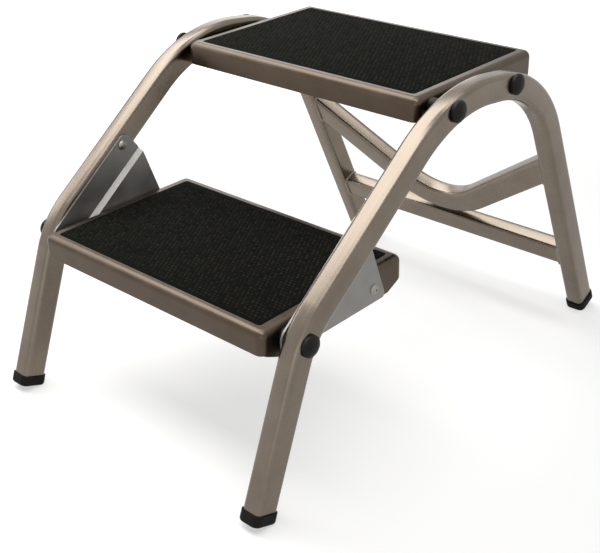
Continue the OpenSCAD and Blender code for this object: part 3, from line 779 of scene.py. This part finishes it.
def repeated(shape, node, name, material, outward=1):
    """A turned shape on each fastener of a CAD node. Its base plane is found from the head's far side."""
    head = max(v.co.z for v in shape.data.vertices)
    points, ways = [], []
    for lo, hi in islands(node):
        side = 1 if lo.x > 0 else -1
        way = side * outward
        far = hi.x if way > 0 else lo.x
        points.append(Vector((far - way * head, (lo.y + hi.y) / 2, (lo.z + hi.z) / 2)) / MM)
        ways.append((way, 0, 0))
    source = mesh_from(points, [], [], name + "_points")
    attribute = source.data.attributes.new("way", "FLOAT_VECTOR", "POINT")
    attribute.data.foreach_set("vector", [c for way in ways for c in way])
    piece = run_tree(repeat_tree, source, {"Shape": shape, "Material": material}, name)
    bpy.data.objects.remove(shape)
    shade(piece, 35)
    keep(piece, [node])


def cover_shape():
    """Moulded cap: a straight rim with a small radius at its foot, a shoulder, and a dome."""
    dome_h = COVER_H - COVER_RIM_H
    dome_r = (COVER_D ** 2 / 4 + dome_h ** 2) / (2 * dome_h)
    edge = math.degrees(math.atan2(dome_r - dome_h, COVER_D / 2))
    dome = arc((0, COVER_H - dome_r), dome_r, edge + 2.5, 90, 14)
    profile = [(0, 0), (COVER_D / 2 - 0.5, 0), (COVER_D / 2, 0.5), (COVER_D / 2, COVER_RIM_H - 0.5)]
    profile += [(COVER_D / 2 - 0.15, COVER_RIM_H + 0.1)] + dome[:-1] + [(0, COVER_H)]
    return turned_mesh(profile, 48, "cover_shape")


def rivet_shape(grip):
    """Blind rivet: a low dome with its mandrel hole, the shank, and the bulged closed end."""
    dome_r = (RIVET_HEAD_D ** 2 / 4 + RIVET_HEAD_H ** 2) / (2 * RIVET_HEAD_H)
    edge = math.degrees(math.atan2(dome_r - RIVET_HEAD_H, RIVET_HEAD_D / 2))
    hole = MANDREL_HOLE_D / 2
    lip = math.degrees(math.acos((hole + 0.3) / dome_r))
    dome = arc((0, RIVET_HEAD_H - dome_r), dome_r, edge + 3, lip, 10)
    low = -grip - RIVET_TAIL_H
    profile = [(0, low), (RIVET_TAIL_D / 2 - 1, low), (RIVET_TAIL_D / 2, low + 1), (RIVET_TAIL_D / 2, -grip - 0.5)]
    profile += [(RIVET_TAIL_D / 2 - 0.5, -grip), (RIVET_D / 2, -grip), (RIVET_D / 2, 0)]
    profile += [(RIVET_HEAD_D / 2 - 0.2, 0), (RIVET_HEAD_D / 2, 0.25)] + dome
    profile += [(hole, RIVET_HEAD_H - 0.25), (hole, RIVET_HEAD_H - 1.4), (0, RIVET_HEAD_H - 1.0)]
    return turned_mesh(profile, 40, "rivet_shape")


repeated(cover_shape(), "upper_bolt_covers", "upper_covers", black_plastic)
repeated(cover_shape(), "lower_bolt_covers", "lower_covers", black_plastic)
for node, name, outward in (("bracket_frame_rivets", "frame_rivets", -1), ("bracket_pan_rivets", "pan_rivets", 1)):
    lo, hi = islands(node)[0]
    grip = (hi.x - lo.x) / MM - RIVET_HEAD_H - RIVET_TAIL_H
    repeated(rivet_shape(grip), node, name, rivet_metal, outward)
for node, name, slot, material in (
        ("upper_bolts", "upper_hex_bolts", "steel", steel_metal), ("lower_bolts", "lower_hex_bolts", "steel", steel_metal),
        ("upper_nuts", "upper_flange_nuts", "steel", steel_metal), ("lower_nuts", "lower_flange_nuts", "steel", steel_metal),
        ("upper_spacers", "upper_plastic_spacers", "black_plastic", black_plastic),
        ("lower_spacers", "lower_plastic_spacers", "black_plastic", black_plastic)):
    keep(cad_copy(node, name, edge_r=0.3), [node], material)

# ---- Floor, light and camera

floor = mesh_from([(-9000, -9000, 0), (9000, -9000, 0), (9000, 9000, 0), (-9000, 9000, 0)], [], [(0, 1, 2, 3)], "floor")
floor_material, tree, shader = finish_of("plain_floor", "#bebdbb", 0.0, 0.9, 0.0)
floor.data.materials.append(floor_material)


def seen_rays(tree):
    """1 for the rays that see the background: from the camera, in a reflection, or through something clear."""
    rays = add(tree, "ShaderNodeLightPath").outputs
    seen = add(tree, "ShaderNodeMath", {"operation": "MAXIMUM"}, {0: rays["Is Camera Ray"], 1: rays["Is Glossy Ray"]})
    return add(tree, "ShaderNodeMath", {"operation": "MAXIMUM"}, {0: seen.outputs[0], 1: rays["Is Transmission Ray"]}).outputs[0]


# The floor's own light is lifted to white for those rays: a little more under the object, where its shadow stays
# soft, and fully where the lamps don't reach
coords = add(tree, "ShaderNodeTexCoord").outputs["Object"]
away = add(tree, "ShaderNodeVectorMath", {"operation": "LENGTH"}, {0: coords}).outputs["Value"]
near = add(tree, "ShaderNodeMapRange", {"interpolation_type": "SMOOTHSTEP"},
           {"Value": away, "From Min": 0.20, "From Max": 0.60, "To Min": LIFT_UNDER, "To Max": LIFT_BESIDE}).outputs[0]
far = add(tree, "ShaderNodeMapRange", {"interpolation_type": "SMOOTHSTEP"},
          {"Value": away, "From Min": 0.70, "From Max": 2.20, "To Min": 0.0, "To Max": 1.0 - LIFT_BESIDE}).outputs[0]
needed = add(tree, "ShaderNodeMath", {"operation": "ADD"}, {0: near, 1: far}).outputs[0]
lift = add(tree, "ShaderNodeMath", {"operation": "MULTIPLY"}, {0: seen_rays(tree), 1: needed})
shader.inputs["Emission Color"].default_value = (1, 1, 1, 1)
tree.links.new(lift.outputs[0], shader.inputs["Emission Strength"])

world = bpy.data.worlds.new("studio")
world.use_nodes = True
bpy.context.scene.world = world
tree = world.node_tree
strength = add(tree, "ShaderNodeMapRange", None, {"Value": seen_rays(tree), "To Min": WORLD_LIGHT, "To Max": 1.0})
background = tree.nodes["Background"]
background.inputs["Color"].default_value = (1, 1, 1, 1)
tree.links.new(strength.outputs[0], background.inputs["Strength"])


def area_lamp(name, width, height, radiance, colour):
    """Area lamp with the brightness of its own surface. It isn't seen itself, apart from in reflections."""
    data = bpy.data.lights.new(name, "AREA")
    data.shape = "RECTANGLE"
    data.size, data.size_y = width, height
    data.energy = radiance * math.pi * width * height
    data.color = linear(colour)[:3]
    lamp = bpy.data.objects.new(name, data)
    lamp.visible_camera = False
    bpy.context.scene.collection.objects.link(lamp)
    return lamp


def ceiling_panel(name, x, y, radiance, colour="#fdfeff"):
    """Lamp that faces down, between two values of x and two of y, in metres."""
    lamp = area_lamp(name, x[1] - x[0], y[1] - y[0], radiance, colour)
    lamp.location = ((x[0] + x[1]) / 2, (y[0] + y[1]) / 2, PANEL_HEIGHT * MM)


def softbox(name, towards, distance, width, height, radiance, colour="#ffffff"):
    """Lamp in a direction from the object, at a distance in metres, that faces it."""
    lamp = area_lamp(name, width, height, radiance, colour)
    way = Vector(towards).normalized()
    lamp.location = Vector((0, 0, 0.2)) + distance * way
    lamp.rotation_euler = way.to_track_quat("Z", "Y").to_euler()


ceiling_panel("front_panel", (-0.6, 1.7), (-1.10, -0.15), 4.9)
ceiling_panel("left_panel", (-2.5, -0.6), (-1.10, 0.90), 4.9)
ceiling_panel("rear_panel", (-0.6, 1.1), (0.40, 0.80), 3.8)
softbox("left_softbox", (-0.84, -0.38, 0.40), 2.3, 0.8, 0.8, 3.0)
softbox("front_softbox", (0.60, -0.78, 0.16), 2.5, 1.3, 0.9, 0.9)
softbox("rear_softbox", (-0.66, 0.65, 0.38), 2.3, 1.2, 0.9, 1.3)

camera_data = bpy.data.cameras.new("camera")
camera_data.sensor_width = 36.0
camera_data.lens = CAMERA_LENS
camera = bpy.data.objects.new("camera", camera_data)
bpy.context.scene.collection.objects.link(camera)
azimuth, elevation, roll = deg(CAMERA_AZIMUTH), deg(CAMERA_ELEVATION), deg(CAMERA_ROLL)
forward = Vector((-math.sin(azimuth) * math.cos(elevation), math.cos(azimuth) * math.cos(elevation), -math.sin(elevation)))
right = Vector((math.cos(azimuth), math.sin(azimuth), 0))
up = right.cross(forward)
turned_right = math.cos(roll) * right + math.sin(roll) * up
turned_up = turned_right.cross(forward)
axes = Matrix((turned_right, turned_up, -forward)).transposed().to_4x4()
camera.matrix_world = Matrix.Translation((Vector(CAMERA_TARGET) - CAMERA_DISTANCE * forward) * MM) @ axes
bpy.context.scene.camera = camera
bpy.context.scene.view_settings.view_transform = "Standard"
